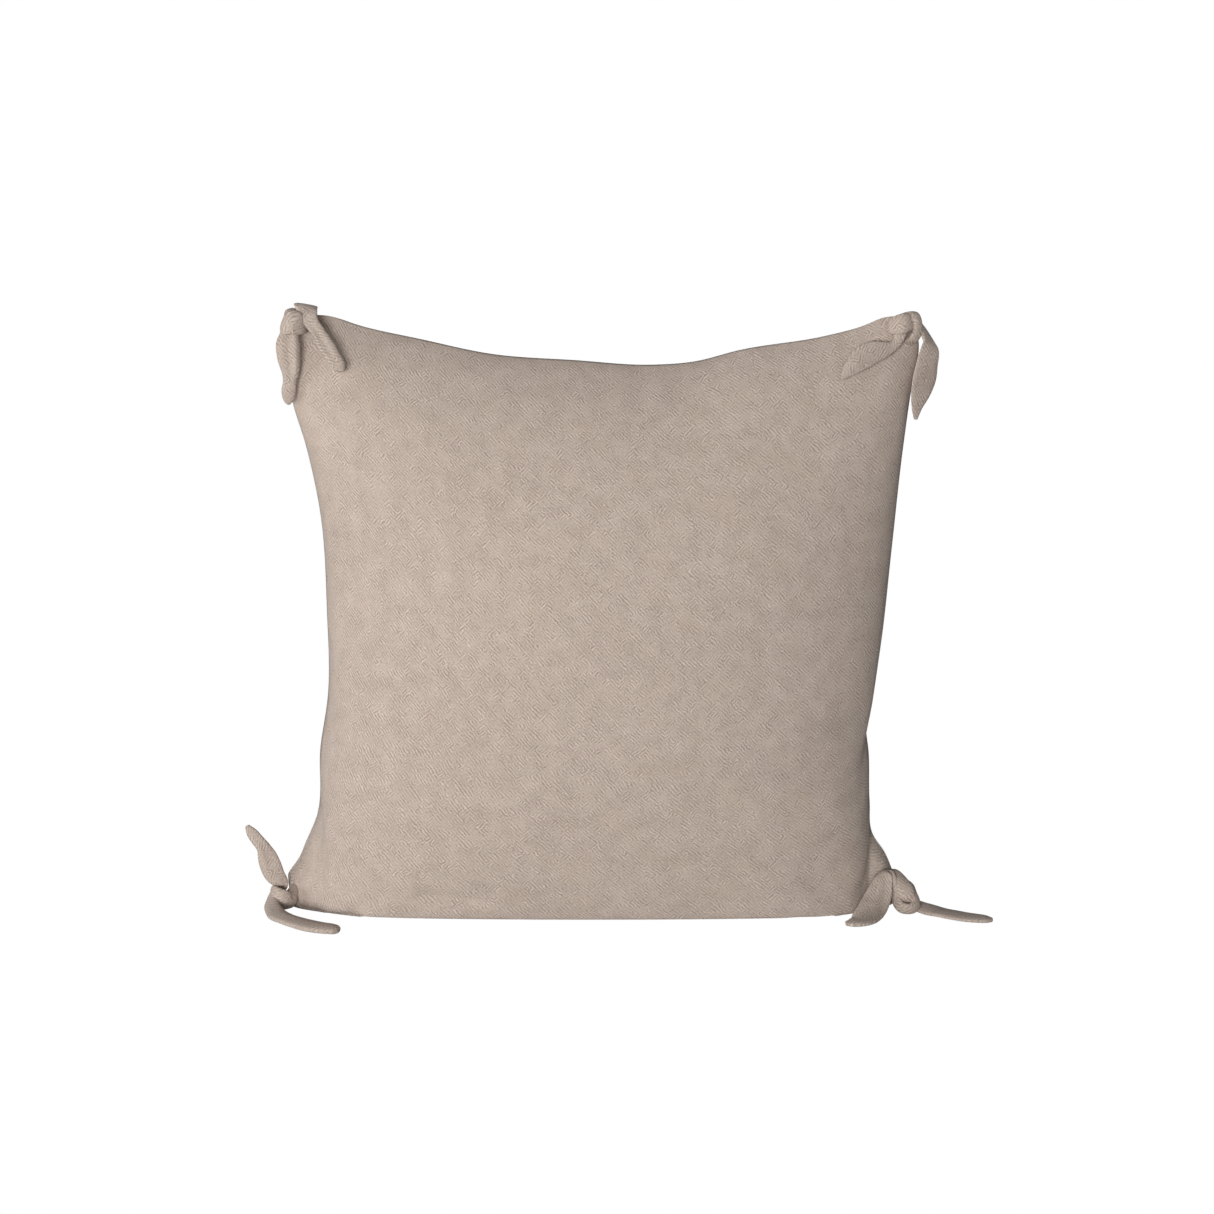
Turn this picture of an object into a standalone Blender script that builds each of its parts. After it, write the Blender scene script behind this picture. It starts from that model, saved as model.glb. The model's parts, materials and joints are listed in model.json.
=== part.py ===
"""Square floor cushion with a knotted pair of ties at each corner, standing on its lower edge.

A woven cover of two panels holds an inner pad. The panels meet in a seam in the plane y = 0,
with a concealed zip along the lower seam. Two flat strips are caught in the seam at each corner
and tied once, and their tails hang free or lie on the floor. +Z is up and the front faces -Y.
All sizes are in metres.
"""

import math

import bpy
import numpy as np

# Cover
CORNER_SPAN = 0.562  # between the corner tips, left to right
CORNER_HEIGHT = 0.548  # of the upper corner tips above the floor
THICKNESS = 0.170  # of the filled cushion, front to back
SIDE_PULL = 0.026  # how far each side draws in between its corners
TOP_PULL = 0.034  # how far the top edge sinks between its corners
FABRIC = 0.0010  # cover cloth
SEAM_GAP = 0.0004  # between the two panels along the seam
SEAM_LIFT = 0.004  # of the lower seam above the floor
GROOVE_HALF = 0.008  # half the width of the groove that the lower seam lies in
CORNER_LIFT = 0.012  # of the lower corner tips above the floor
LIFT_AT_ZIP_END = 0.0043  # share of that rise which the lower seam has reached at the zip's ends
FLOOR_SAG = 0.040  # how far the filled lower edge has settled onto the floor
CLEARANCE = 0.0004  # between touching layers of cloth and filling

# Inner pad
CASE_CLOTH = 0.0005
PAD_LIFT = 0.014  # height of the pad's own lower seam, which leaves room for the zip
PAD_GROOVE_HALF = 0.022

# Zip
ZIP_LENGTH = 0.400
ZIP_END_ROOM = 0.035  # over which the pad comes down again past each end of the zip
SLIT_HALF = 0.0010  # half the opening between the panel edges along the zip
TAPE_WIDTH = 0.0095
TAPE_CLOTH = 0.0006
TAPE_DROP = 0.0012  # the tape slopes down by this much to its outer edge
COIL_SIZE = 0.0015
COIL_GAP_HALF = 0.0012
PLATE = 0.0008  # slider plates
SLIDER_LENGTH = 0.012
SLIDER_HALF_WIDTH = 0.0030
NECK_HALF = 0.0007
MOVE_GAP = 0.0003  # between the slider or the puller and what it moves past
PIN_RADIUS = 0.00045
PULLER_LENGTH = 0.026
PULLER_HALF_WIDTH = 0.0030
PULLER_PLATE = 0.0010
STOP_LENGTH = 0.003

# Ties
TIE_WIDTH = 0.028
TIE_THICKNESS = 0.0026  # the strip is folded over twice and topstitched
KNOT_LENGTH = 0.022
KNOT_RADIUS = 0.0056  # from the knot's middle to the middle of each strand
STRAND_WIDTH = 0.0080  # of a strip gathered into the knot
STRAND_THICKNESS = 0.0062
ROOT_GAP = 0.0016  # from the corner tip to the start of the strips

CELLS = 14  # across a panel
TIE_RINGS = 34

PALETTE = {
    "oatmeal_linen": ((0.52, 0.42, 0.35, 1.0), 0.90, 0.0),
    "pad_cotton": ((0.80, 0.77, 0.71, 1.0), 0.85, 0.0),
    "hollow_fibre": ((0.86, 0.86, 0.84, 1.0), 0.95, 0.0),
    "zip_tape": ((0.50, 0.41, 0.34, 1.0), 0.80, 0.0),
    "zip_nylon": ((0.46, 0.38, 0.31, 1.0), 0.45, 0.0),
    "zip_metal": ((0.62, 0.61, 0.58, 1.0), 0.35, 1.0),
}


def clear_scene():
    for obj in list(bpy.data.objects):
        bpy.data.objects.remove(obj, do_unlink=True)


def material(name):
    """The named material, made on first use."""
    if name in bpy.data.materials:
        return bpy.data.materials[name]
    colour, roughness, metallic = PALETTE[name]
    made = bpy.data.materials.new(name)
    made.use_nodes = True
    shader = made.node_tree.nodes["Principled BSDF"]
    shader.inputs["Base Color"].default_value = colour
    shader.inputs["Roughness"].default_value = roughness
    shader.inputs["Metallic"].default_value = metallic
    return made


def add_mesh(name, points, faces, slot, origin=(0.0, 0.0, 0.0), smooth=False):
    """A mesh object whose origin is at the given place, with its points given in the cushion's frame."""
    local = np.asarray(points, float) - np.asarray(origin, float)
    mesh = bpy.data.meshes.new(name)
    mesh.from_pydata(local.tolist(), [], faces)
    mesh.update()
    if smooth:
        mesh.shade_smooth()
        mesh.set_sharp_from_angle(angle=math.radians(40))
    obj = bpy.data.objects.new(name, mesh)
    obj.location = origin
    mesh.materials.append(material(slot))
    bpy.context.scene.collection.objects.link(obj)
    return obj


# ---------------------------------------------------------------- cover and pad


def grid_values():
    """Values from -1 to 1, closer together towards the rim, where the cushion curves most."""
    steps = np.linspace(-1.0, 1.0, CELLS + 1)
    return np.sign(steps) * (1.0 - (1.0 - np.abs(steps)) ** 2.5)


def swell(t):
    """Share of the full thickness, 0 at a seam and 1 in the middle."""
    return np.maximum(0.0, 1.0 - np.abs(t) ** 2.2) ** 0.55


def settled(z, depth):
    """Heights after the filled lower edge has settled onto the floor; the seams themselves don't."""
    share = np.minimum(1.0, depth / GROOVE_HALF)
    return z - FLOOR_SAG * share * np.maximum(0.0, 1.0 - z / CORNER_HEIGHT) ** 2


def corner_rise():
    """The power of the lower seam's curve, which is level along the zip and rises past its ends."""
    return math.log(LIFT_AT_ZIP_END) / math.log(ZIP_LENGTH / CORNER_SPAN)


def half_surface(
    side, inset=0.0, lift=SEAM_LIFT, groove_half=GROOVE_HALF, gap=SEAM_GAP / 2, slit_half=SLIT_HALF
):
    """Points (rows, columns, 3) of the front (side -1) or back (side 1) half of one layer.

    A layer inset from the cover's outside is the same shape drawn in towards the middle. Its edge
    lies half a gap from the seam's plane, and half a slit from it along the zip.
    """
    values = grid_values()
    u, v = np.meshgrid(values, values)
    x = u * (CORNER_SPAN / 2 - SIDE_PULL * (1.0 - np.abs(v) ** 3))
    top = CORNER_HEIGHT - TOP_PULL * (1.0 - np.abs(u) ** 3)
    bottom = SEAM_LIFT + (CORNER_LIFT - SEAM_LIFT) * np.abs(u) ** corner_rise()
    raw = bottom + (top - bottom) * (v + 1.0) / 2.0
    depth = (THICKNESS / 2 - SEAM_GAP / 2) * swell(u) * swell(v)
    rim = bottom * np.maximum(0.0, 1.0 - depth / groove_half)
    z = np.maximum(np.maximum(settled(raw, depth), 0.0), rim)
    middle = CORNER_HEIGHT / 2
    x = x * (1.0 - inset / (CORNER_SPAN / 2 - SIDE_PULL))
    z = middle + (z - middle) * (1.0 - inset / middle)
    depth = depth * (1.0 - inset / (THICKNESS / 2))
    raised = (lift - SEAM_LIFT) * np.maximum(0.0, 1.0 - depth / groove_half)
    raised = raised * np.maximum(0.0, 1.0 - z / (4.0 * max(lift, SEAM_LIFT)))
    z = z + raised * np.clip((ZIP_LENGTH / 2 + ZIP_END_ROOM - np.abs(x)) / ZIP_END_ROOM, 0.0, 1.0)
    past_zip = (ZIP_LENGTH / 2 + ZIP_END_ROOM - np.abs(x[0])) / (ZIP_END_ROOM / 2)
    opening = np.zeros_like(depth)
    opening[0] = (slit_half - gap) * np.clip(past_zip, 0.0, 1.0)
    return np.stack([x, side * (depth + gap + opening), z], axis=-1)


def sheet_faces(rows, columns, first=0):
    """Triangles of a grid of points numbered row by row, split alike in every layer.

    Each cell's diagonal runs from the middle of the sheet towards its corner.
    """
    faces = []
    for row in range(rows - 1):
        for column in range(columns - 1):
            a = first + row * columns + column
            b, c, d = a + 1, a + columns + 1, a + columns
            if (row < rows // 2) == (column < columns // 2):
                faces += [(a, b, c), (a, c, d)]
            else:
                faces += [(a, b, d), (b, c, d)]
    return faces


def rim_loop(rows, columns):
    """Point numbers around a grid's edge, in the order that its quads turn."""
    lower = list(range(columns - 1))
    right = [row * columns + columns - 1 for row in range(rows - 1)]
    upper = [(rows - 1) * columns + column for column in range(columns - 1, 0, -1)]
    left = [row * columns for row in range(rows - 1, 0, -1)]
    return lower + right + upper + left


def shell(name, side, inset, cloth, slot, **groove):
    """One cloth half: an open dish with an outer and an inner surface joined at the seam."""
    outer = half_surface(side, inset, **groove)
    inner = half_surface(side, inset + cloth, **groove)
    rows, columns = outer.shape[:2]
    count = rows * columns
    faces = sheet_faces(rows, columns)
    faces += [face[::-1] for face in sheet_faces(rows, columns, count)]
    loop = rim_loop(rows, columns)
    for here, after in zip(loop, loop[1:] + loop[:1]):
        faces.append((after, here, here + count, after + count))
    if side > 0:
        faces = [face[::-1] for face in faces]
    points = np.concatenate([outer.reshape(-1, 3), inner.reshape(-1, 3)])
    return add_mesh(name, points, faces, slot, smooth=True)


def filled_pad(name, inset, slot, **groove):
    """The closed body of filling, whose two faces share one rim."""
    front = half_surface(-1, inset, gap=0.0, slit_half=0.0, **groove)
    back = half_surface(1, inset, gap=0.0, slit_half=0.0, **groove)
    rows, columns = front.shape[:2]
    count = rows * columns
    rim = set(rim_loop(rows, columns))
    number = {}
    points = [tuple(p) for p in front.reshape(-1, 3)]
    for index, point in enumerate(back.reshape(-1, 3)):
        if index in rim:
            number[index + count] = index
        else:
            number[index + count] = len(points)
            points.append(tuple(point))
    faces = sheet_faces(rows, columns)
    for face in sheet_faces(rows, columns, count):
        faces.append(tuple(number[index] for index in face[::-1]))
    return add_mesh(name, points, faces, slot, smooth=True)


def build_cover_and_pad():
    pad = {"lift": PAD_LIFT, "groove_half": PAD_GROOVE_HALF}
    case_inset = FABRIC + CLEARANCE
    fill_inset = case_inset + CASE_CLOTH + CLEARANCE
    shell("front_panel", -1, 0.0, FABRIC, "oatmeal_linen")
    shell("back_panel", 1, 0.0, FABRIC, "oatmeal_linen")
    sewn = {"slit_half": SEAM_GAP / 2, **pad}
    shell("inner_case_front", -1, case_inset, CASE_CLOTH, "pad_cotton", **sewn)
    shell("inner_case_back", 1, case_inset, CASE_CLOTH, "pad_cotton", **sewn)
    filled_pad("filling", fill_inset, "hollow_fibre", **pad)


# ---------------------------------------------------------------- zip


def prism(profile, start, end):
    """Points and faces of a bar along X, whose (y, z) profile runs anticlockwise seen from +X."""
    count = len(profile)
    points = [(start, y, z) for y, z in profile] + [(end, y, z) for y, z in profile]
    faces = [tuple(range(count - 1, -1, -1)), tuple(range(count, 2 * count))]
    for index in range(count):
        after = (index + 1) % count
        faces.append((index, after, after + count, index + count))
    return points, faces


def block(y_half, z_low, z_high):
    return [(-y_half, z_low), (y_half, z_low), (y_half, z_high), (-y_half, z_high)]


def mirrored(profile):
    return [(-y, z) for y, z in reversed(profile)]


def zip_heights():
    """Heights of the zip's layers, from the inside of the lower seam upwards."""
    under_plate = SEAM_LIFT + FABRIC + MOVE_GAP
    tape = under_plate + PLATE + MOVE_GAP
    coil = tape + TAPE_CLOTH + MOVE_GAP
    over_plate = coil + COIL_SIZE + MOVE_GAP
    return under_plate, tape, coil, over_plate


def build_zip_chain():
    _, tape, coil, _ = zip_heights()
    half = ZIP_LENGTH / 2
    inner_edge = COIL_GAP_HALF + MOVE_GAP
    outer_edge = inner_edge + TAPE_WIDTH
    tape_profile = [
        (inner_edge, tape),
        (outer_edge, tape - TAPE_DROP),
        (outer_edge, tape - TAPE_DROP + TAPE_CLOTH),
        (inner_edge, tape + TAPE_CLOTH),
    ]
    angles = [math.radians(22.5 + 45.0 * step) for step in range(8)]
    coil_middle = COIL_GAP_HALF + COIL_SIZE / 2
    coil_profile = [
        (coil_middle + COIL_SIZE * 0.54 * math.cos(a), coil + COIL_SIZE * 0.5 * (1.0 + math.sin(a)))
        for a in angles
    ]
    stop_profile = [
        (COIL_GAP_HALF, coil),
        (COIL_GAP_HALF + COIL_SIZE, coil),
        (COIL_GAP_HALF + COIL_SIZE, coil + COIL_SIZE),
        (COIL_GAP_HALF, coil + COIL_SIZE),
    ]
    coil_start = -half + STOP_LENGTH + MOVE_GAP
    coil_end = half - STOP_LENGTH - MOVE_GAP
    for place, turn in (("back", list), ("front", mirrored)):
        add_mesh("zip_tape_" + place, *prism(turn(tape_profile), -half, half), "zip_tape")
        add_mesh("zip_coil_" + place, *prism(turn(coil_profile), coil_start, coil_end), "zip_nylon")
        stop = prism(turn(stop_profile), half - STOP_LENGTH, half)
        add_mesh("zip_top_stop_" + place, *stop, "zip_metal")
    bridge = block(COIL_GAP_HALF + COIL_SIZE, coil, coil + COIL_SIZE)
    add_mesh("zip_bottom_stop", *prism(bridge, -half, -half + STOP_LENGTH), "zip_metal")


def slider_place():
    """The slider's middle at rest, fully closed against the top stops."""
    return ZIP_LENGTH / 2 - STOP_LENGTH - MOVE_GAP - SLIDER_LENGTH / 2


def pin_height():
    """Height of the puller's pin, below the neck and above the floor."""
    return SEAM_LIFT - MOVE_GAP - 5.0 * PIN_RADIUS


def union(target, others):
    """Joins the other solids to the target with exact Booleans and removes them."""
    for other in others:
        joined = target.modifiers.new("join_" + other.name, "BOOLEAN")
        joined.operation = "UNION"
        joined.solver = "EXACT"
        joined.object = other
        other.hide_render = True
        other.display_type = "WIRE"


def build_slider():
    under_plate, _, _, over_plate = zip_heights()
    middle = slider_place()
    half = SLIDER_LENGTH / 2
    pin = pin_height()
    origin = (middle, 0.0, pin)
    post_half = SLIDER_LENGTH / 6
    plate = prism(block(SLIDER_HALF_WIDTH, over_plate, over_plate + PLATE), middle - half, middle + half)
    slider = add_mesh("zip_slider", *plate, "zip_metal", origin)
    under = prism(block(COIL_GAP_HALF, under_plate, under_plate + PLATE), middle - half, middle + half)
    neck_low = pin - PIN_RADIUS
    neck = prism(block(NECK_HALF, neck_low, over_plate + PLATE / 2), middle - post_half, middle + post_half)
    pin_reach = PULLER_HALF_WIDTH
    ring = [math.radians(30.0 * step) for step in range(12)]
    pin_points = [
        (middle + PIN_RADIUS * math.cos(a), y, pin + PIN_RADIUS * math.sin(a))
        for y in (-pin_reach, pin_reach)
        for a in ring
    ]
    pin_faces = [tuple(range(12)), tuple(range(23, 11, -1))]
    for step in range(12):
        after = (step + 1) % 12
        pin_faces.append((after, step, step + 12, after + 12))
    helpers = [
        add_mesh("slider_under_plate", *under, "zip_metal"),
        add_mesh("slider_neck", *neck, "zip_metal"),
        add_mesh("slider_pin", pin_points, pin_faces, "zip_metal"),
    ]
    union(slider, helpers)


def ring_band(centre, y_low, y_high, hole, outer, sides=12):
    """A short collar about an axis along Y: points and faces."""
    angles = [2.0 * math.pi * step / sides for step in range(sides)]
    points = []
    for y in (y_low, y_high):
        for radius in (hole, outer):
            points += [(centre[0] + radius * math.cos(a), y, centre[1] + radius * math.sin(a)) for a in angles]
    faces = []
    for step in range(sides):
        after = (step + 1) % sides
        faces.append((step, after, after + sides, step + sides))
        faces.append((after + 2 * sides, step + 2 * sides, step + 3 * sides, after + 3 * sides))
        faces.append((after, step, step + 2 * sides, after + 2 * sides))
        faces.append((step + sides, after + sides, after + 3 * sides, step + 3 * sides))
    return points, faces


def build_puller():
    """A fork whose two collars turn on the slider's pin, and a flat tab that narrows to its end."""
    middle = slider_place()
    pin = pin_height()
    origin = (middle, 0.0, pin)
    hole = PIN_RADIUS + MOVE_GAP
    collar = hole + 0.0005
    inner = NECK_HALF + MOVE_GAP
    outer = PULLER_HALF_WIDTH - MOVE_GAP
    crossbar = -(SLIDER_LENGTH / 6 + 2.0 * MOVE_GAP + collar)
    root = middle + crossbar
    tip = middle - PULLER_LENGTH
    low = pin - PULLER_PLATE / 2
    high = pin + PULLER_PLATE / 2
    tip_half = 0.6 * PULLER_HALF_WIDTH
    outline = [(root, -outer), (root, outer), (tip + 0.002, tip_half), (tip, 0.4 * tip_half)]
    outline += [(tip, -0.4 * tip_half), (tip + 0.002, -tip_half)]
    count = len(outline)
    points = [(x, y, low) for x, y in outline] + [(x, y, high) for x, y in outline]
    faces = [tuple(range(count - 1, -1, -1)), tuple(range(count, 2 * count))]
    for index in range(count):
        after = (index + 1) % count
        faces.append((index, after, after + count, index + count))
    puller = add_mesh("zip_puller", points, faces, "zip_metal", origin)
    helpers = []
    for label, y_low, y_high in (("front", -outer, -inner), ("back", inner, outer)):
        band = ring_band((middle, pin), y_low, y_high, hole, collar)
        helpers.append(add_mesh("puller_collar_" + label, *band, "zip_metal"))
        arm = prism(block((y_high - y_low) / 2, low, high), root - 0.0003, middle - hole - 0.0001)
        shift = (y_low + y_high) / 2
        arm_points = [(x, y + shift, z) for x, y, z in arm[0]]
        helpers.append(add_mesh("puller_arm_" + label, arm_points, arm[1], "zip_metal"))
    union(puller, helpers)


# ---------------------------------------------------------------- ties


def smooth_path(points, count):
    """Evenly spaced points on a centripetal Catmull-Rom curve through the given points."""
    points = np.asarray(points, float)
    padded = np.vstack([2 * points[0] - points[1], points, 2 * points[-1] - points[-2]])
    fine = []
    for p0, p1, p2, p3 in zip(padded, padded[1:], padded[2:], padded[3:]):
        knots = np.cumsum([0.0] + [math.sqrt(np.linalg.norm(b[:3] - a[:3])) for a, b in
                                   ((p0, p1), (p1, p2), (p2, p3))])
        for t in np.linspace(knots[1], knots[2], 16, endpoint=False):
            a1 = p0 + (p1 - p0) * (t - knots[0]) / (knots[1] - knots[0])
            a2 = p1 + (p2 - p1) * (t - knots[1]) / (knots[2] - knots[1])
            a3 = p2 + (p3 - p2) * (t - knots[2]) / (knots[3] - knots[2])
            b1 = a1 + (a2 - a1) * (t - knots[0]) / (knots[2] - knots[0])
            b2 = a2 + (a3 - a2) * (t - knots[1]) / (knots[3] - knots[1])
            fine.append(b1 + (b2 - b1) * (t - knots[1]) / (knots[2] - knots[1]))
    fine.append(points[-1])
    fine = np.array(fine)
    along = np.concatenate([[0.0], np.cumsum(np.linalg.norm(np.diff(fine[:, :3], axis=0), axis=1))])
    wanted = np.linspace(0.0, along[-1], count)
    return np.stack([np.interp(wanted, along, fine[:, k]) for k in range(fine.shape[1])], axis=-1)


def unit(vector):
    return np.asarray(vector, float) / np.linalg.norm(vector)


def strip_solid(name, stations, origin):
    """A flat strip swept through stations of (place, face normal, width, thickness)."""
    rows = [np.concatenate([place, unit(normal), [width, thickness]]) for place, normal, width, thickness in stations]
    for row, last in zip(rows[1:], rows):
        if row[3:6] @ last[3:6] < 0.0:
            row[3:6] *= -1.0
    path = smooth_path(rows, TIE_RINGS)
    tangents = np.gradient(path[:, :3], axis=0)
    points = []
    for row, tangent in zip(path, tangents):
        along = unit(tangent)
        across = unit(np.cross(along, row[3:6]))
        normal = np.cross(across, along)
        for angle in (math.radians(22.5 + 45.0 * step) for step in range(8)):
            side = math.copysign(abs(math.cos(angle)) ** 0.5, math.cos(angle))
            rise = math.copysign(abs(math.sin(angle)) ** 0.5, math.sin(angle))
            points.append(row[:3] + across * side * row[6] / 2 + normal * rise * row[7] / 2)
    faces = [tuple(range(8)), tuple(range(len(points) - 1, len(points) - 9, -1))]
    for ring in range(TIE_RINGS - 1):
        for step in range(8):
            here = ring * 8 + step
            after = ring * 8 + (step + 1) % 8
            faces.append((after, here, here + 8, after + 8))
    return add_mesh(name, points, faces, "oatmeal_linen", origin, smooth=True)


def knot_stations(tip, direction, towards_front, start_turn):
    """Root and knot of one strip: it leaves the corner seam and winds once about the other strip."""
    along = unit(direction)
    front = np.array([0.0, -1.0, 0.0])
    up = np.cross(front, along)
    half_turn = 0.0 if towards_front else math.pi
    start = np.asarray(tip) + along * ROOT_GAP
    stations = []
    for share in np.linspace(0.0, 1.0, 13):
        angle = start_turn + half_turn + 2.0 * math.pi * share
        outward = math.cos(angle) * front + math.sin(angle) * up
        place = start + along * (0.004 + KNOT_LENGTH * share) + outward * KNOT_RADIUS
        stations.append((place, outward, STRAND_WIDTH, STRAND_THICKNESS))
    first = start + (front if towards_front else -front) * KNOT_RADIUS * 0.75
    root = (first, front, STRAND_WIDTH * 1.1, STRAND_THICKNESS * 0.8)
    return [root] + stations[1:]


def tail_stations(places, normals):
    """The free tail, which spreads from the gathered strand to the full width of the strip."""
    stations = []
    for index, (place, normal) in enumerate(zip(places, normals)):
        share = min(1.0, (index + 1) / 3.0)
        width = STRAND_WIDTH + (TIE_WIDTH - STRAND_WIDTH) * share
        thickness = STRAND_THICKNESS + (TIE_THICKNESS - STRAND_THICKNESS) * share
        stations.append((np.asarray(place, float), normal, width, thickness))
    return stations


FRONT = (0.0, -1.0, 0.0)
UP = (0.0, 0.0, 1.0)
OUT_LEFT = (-1.0, 0.0, 0.4)
LEAN = (0.0, -1.0, 0.6)

# For each corner: the side it is on, the direction of its knot, the turn at which the front strip
# starts, and, for the front and the back strip, the places that the tail passes, measured from
# the corner tip, with the way its face looks at each.
CORNERS = {
    "top_left": (
        (-1, 1), (-0.7, 0.0, 0.7), 0.0,
        ([(-0.006, -0.013, 0.026), (0.008, -0.020, 0.014), (0.022, -0.024, -0.008), (0.037, -0.027, -0.036)],
         [LEAN, LEAN, FRONT, FRONT]),
        ([(-0.026, 0.004, 0.014), (-0.026, -0.005, -0.004), (-0.021, -0.009, -0.032), (-0.018, -0.010, -0.066)],
         [OUT_LEFT, FRONT, FRONT, FRONT]),
    ),
    "top_right": (
        (1, 1), (0.7, 0.0, 0.7), 0.0,
        ([(0.008, -0.017, 0.016), (-0.009, -0.020, 0.000), (-0.032, -0.023, -0.022), (-0.056, -0.027, -0.044)],
         [LEAN, FRONT, FRONT, FRONT]),
        ([(0.031, 0.004, 0.016), (0.031, -0.004, -0.008), (0.027, -0.008, -0.042), (0.018, -0.009, -0.082)],
         [OUT_LEFT, FRONT, FRONT, FRONT]),
    ),
    "bottom_left": (
        (-1, -1), (-1.0, 0.0, 0.12), 0.0,
        ([(-0.030, -0.016, 0.000), (-0.020, -0.032, -0.0075), (0.004, -0.050, -0.0095), (0.034, -0.064, -0.0098)],
         [(-1.0, -0.6, 0.8), UP, UP, UP]),
        ([(-0.032, 0.004, 0.016), (-0.034, 0.003, 0.032), (-0.039, 0.000, 0.052), (-0.046, -0.003, 0.074)],
         [OUT_LEFT, FRONT, FRONT, FRONT]),
    ),
    "bottom_right": (
        (1, -1), (1.0, 0.0, 0.12), 0.0,
        ([(0.018, -0.019, 0.016), (-0.002, -0.028, 0.016), (-0.024, -0.042, 0.003), (-0.044, -0.060, -0.0098)],
         [LEAN, LEAN, (0.0, -0.5, 1.0), UP]),
        ([(0.038, 0.003, -0.002), (0.052, -0.001, -0.0060), (0.066, -0.004, -0.0092), (0.086, -0.008, -0.0098)],
         [UP, UP, UP, UP]),
    ),
}


def corner_tip(side, level):
    """Where the seams meet at a corner: side -1 left or 1 right, level -1 lower or 1 upper."""
    return np.array([side * CORNER_SPAN / 2, 0.0, CORNER_HEIGHT if level > 0 else CORNER_LIFT])


def build_ties():
    for name, ((side, level), direction, turn, front, back) in CORNERS.items():
        tip = corner_tip(side, level)
        for place, towards_front, (places, normals) in (("front", True, front), ("back", False, back)):
            stations = knot_stations(tip, direction, towards_front, turn)
            stations += tail_stations([tip + np.array(step) for step in places], normals)
            strip_solid("tie_" + name + "_" + place, stations, tuple(tip))


# ---------------------------------------------------------------- assembly


def stand_on_origin():
    """Hangs every piece on one empty, placed so that the origin is at the middle of the footprint box."""
    pieces = [obj for obj in bpy.data.objects if obj.type == "MESH" and not obj.hide_render]
    assembly = bpy.data.objects.new("cushion_assembly", None)
    bpy.context.scene.collection.objects.link(assembly)
    bpy.context.view_layer.update()
    corners = np.array([obj.matrix_world @ vertex.co for obj in pieces for vertex in obj.data.vertices])
    low, high = corners.min(axis=0), corners.max(axis=0)
    for obj in bpy.data.objects:
        if obj.type == "MESH":
            obj.parent = assembly
    assembly.location = (-(low[0] + high[0]) / 2, -(low[1] + high[1]) / 2, -low[2])


def main():
    clear_scene()
    build_cover_and_pad()
    build_zip_chain()
    build_slider()
    build_puller()
    build_ties()
    stand_on_origin()


main()
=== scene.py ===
# %% [markdown]
# # A floor cushion with knotted corner ties
# The cushion is a square cover of coarse oatmeal linen over a filled inner pad. It stands on its
# lower edge. Two flat strips of the same cloth are sewn into each corner and tied once. The sizes
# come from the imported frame, so this script only makes the cloth, the knots and the light.

# %% Load the frame
import json
import math

import bpy
import numpy as np
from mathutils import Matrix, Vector
from mathutils.bvhtree import BVHTree


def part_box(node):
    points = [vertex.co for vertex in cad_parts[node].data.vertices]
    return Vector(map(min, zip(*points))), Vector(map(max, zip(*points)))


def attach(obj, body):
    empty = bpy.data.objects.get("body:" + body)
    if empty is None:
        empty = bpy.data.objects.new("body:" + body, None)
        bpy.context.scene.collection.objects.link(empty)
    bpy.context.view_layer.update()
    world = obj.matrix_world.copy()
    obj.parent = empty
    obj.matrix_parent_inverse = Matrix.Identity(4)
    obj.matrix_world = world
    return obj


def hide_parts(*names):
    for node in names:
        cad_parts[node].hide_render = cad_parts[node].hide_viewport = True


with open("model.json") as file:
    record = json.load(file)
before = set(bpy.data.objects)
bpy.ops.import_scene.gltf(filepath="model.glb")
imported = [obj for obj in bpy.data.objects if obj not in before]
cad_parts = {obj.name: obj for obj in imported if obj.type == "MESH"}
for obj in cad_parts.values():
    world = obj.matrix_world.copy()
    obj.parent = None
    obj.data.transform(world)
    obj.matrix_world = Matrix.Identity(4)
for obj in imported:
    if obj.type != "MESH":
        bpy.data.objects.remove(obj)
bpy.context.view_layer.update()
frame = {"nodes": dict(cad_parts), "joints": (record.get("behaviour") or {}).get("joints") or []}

# %% [markdown]
# ## The places that everything starts from
# The front panel's box gives the cushion's middle, its span and its height. Each corner tie hinges
# where its strips enter the seam, so the joints give the corner tips.

# %% Main places and sizes
panel_low, panel_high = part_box("front_panel")
MIDDLE_X = (panel_low.x + panel_high.x) / 2
HALF_SPAN = (panel_high.x - panel_low.x) / 2
CORNER_TOP = panel_high.z
HALF_THICK = -panel_low.y
TIPS = {
    joint["name"].removeprefix("flop_"): np.array(joint["pos_m"])
    for joint in frame["joints"]
    if joint["name"].startswith("flop_")
}
CORNER_LIFT = TIPS["bottom_left"][2]
print("half span", round(HALF_SPAN, 4), "top", round(CORNER_TOP, 4), "half depth", round(HALF_THICK, 4))

# %% [markdown]
# ## Camera
# A long lens a little above the middle of the cushion keeps its sides almost straight and shows
# the floor in front of it, where the lower ties lie.

# %% Camera
VIEW_DISTANCE = 1.90
VIEW_RISE = math.radians(10.0)
VIEW_WIDTH = 1.118  # of the picture, in the plane of the seam
SENSOR = 36.0
AIM_HEIGHT = 0.283
AIM_SIDE = 0.005  # to the right of the cushion's middle
AIM = Vector((MIDDLE_X + AIM_SIDE, 0.0, AIM_HEIGHT))

camera_data = bpy.data.cameras.new("camera")
camera_data.sensor_width = SENSOR
camera_data.lens = camera_data.sensor_width * VIEW_DISTANCE / VIEW_WIDTH
camera = bpy.data.objects.new("camera", camera_data)
camera.location = AIM + Vector((0.0, -math.cos(VIEW_RISE), math.sin(VIEW_RISE))) * VIEW_DISTANCE
camera.rotation_euler = (math.radians(90.0) - VIEW_RISE, 0.0, 0.0)
bpy.context.scene.collection.objects.link(camera)
bpy.context.scene.camera = camera
print("lens", round(camera_data.lens, 1), "mm")

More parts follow.
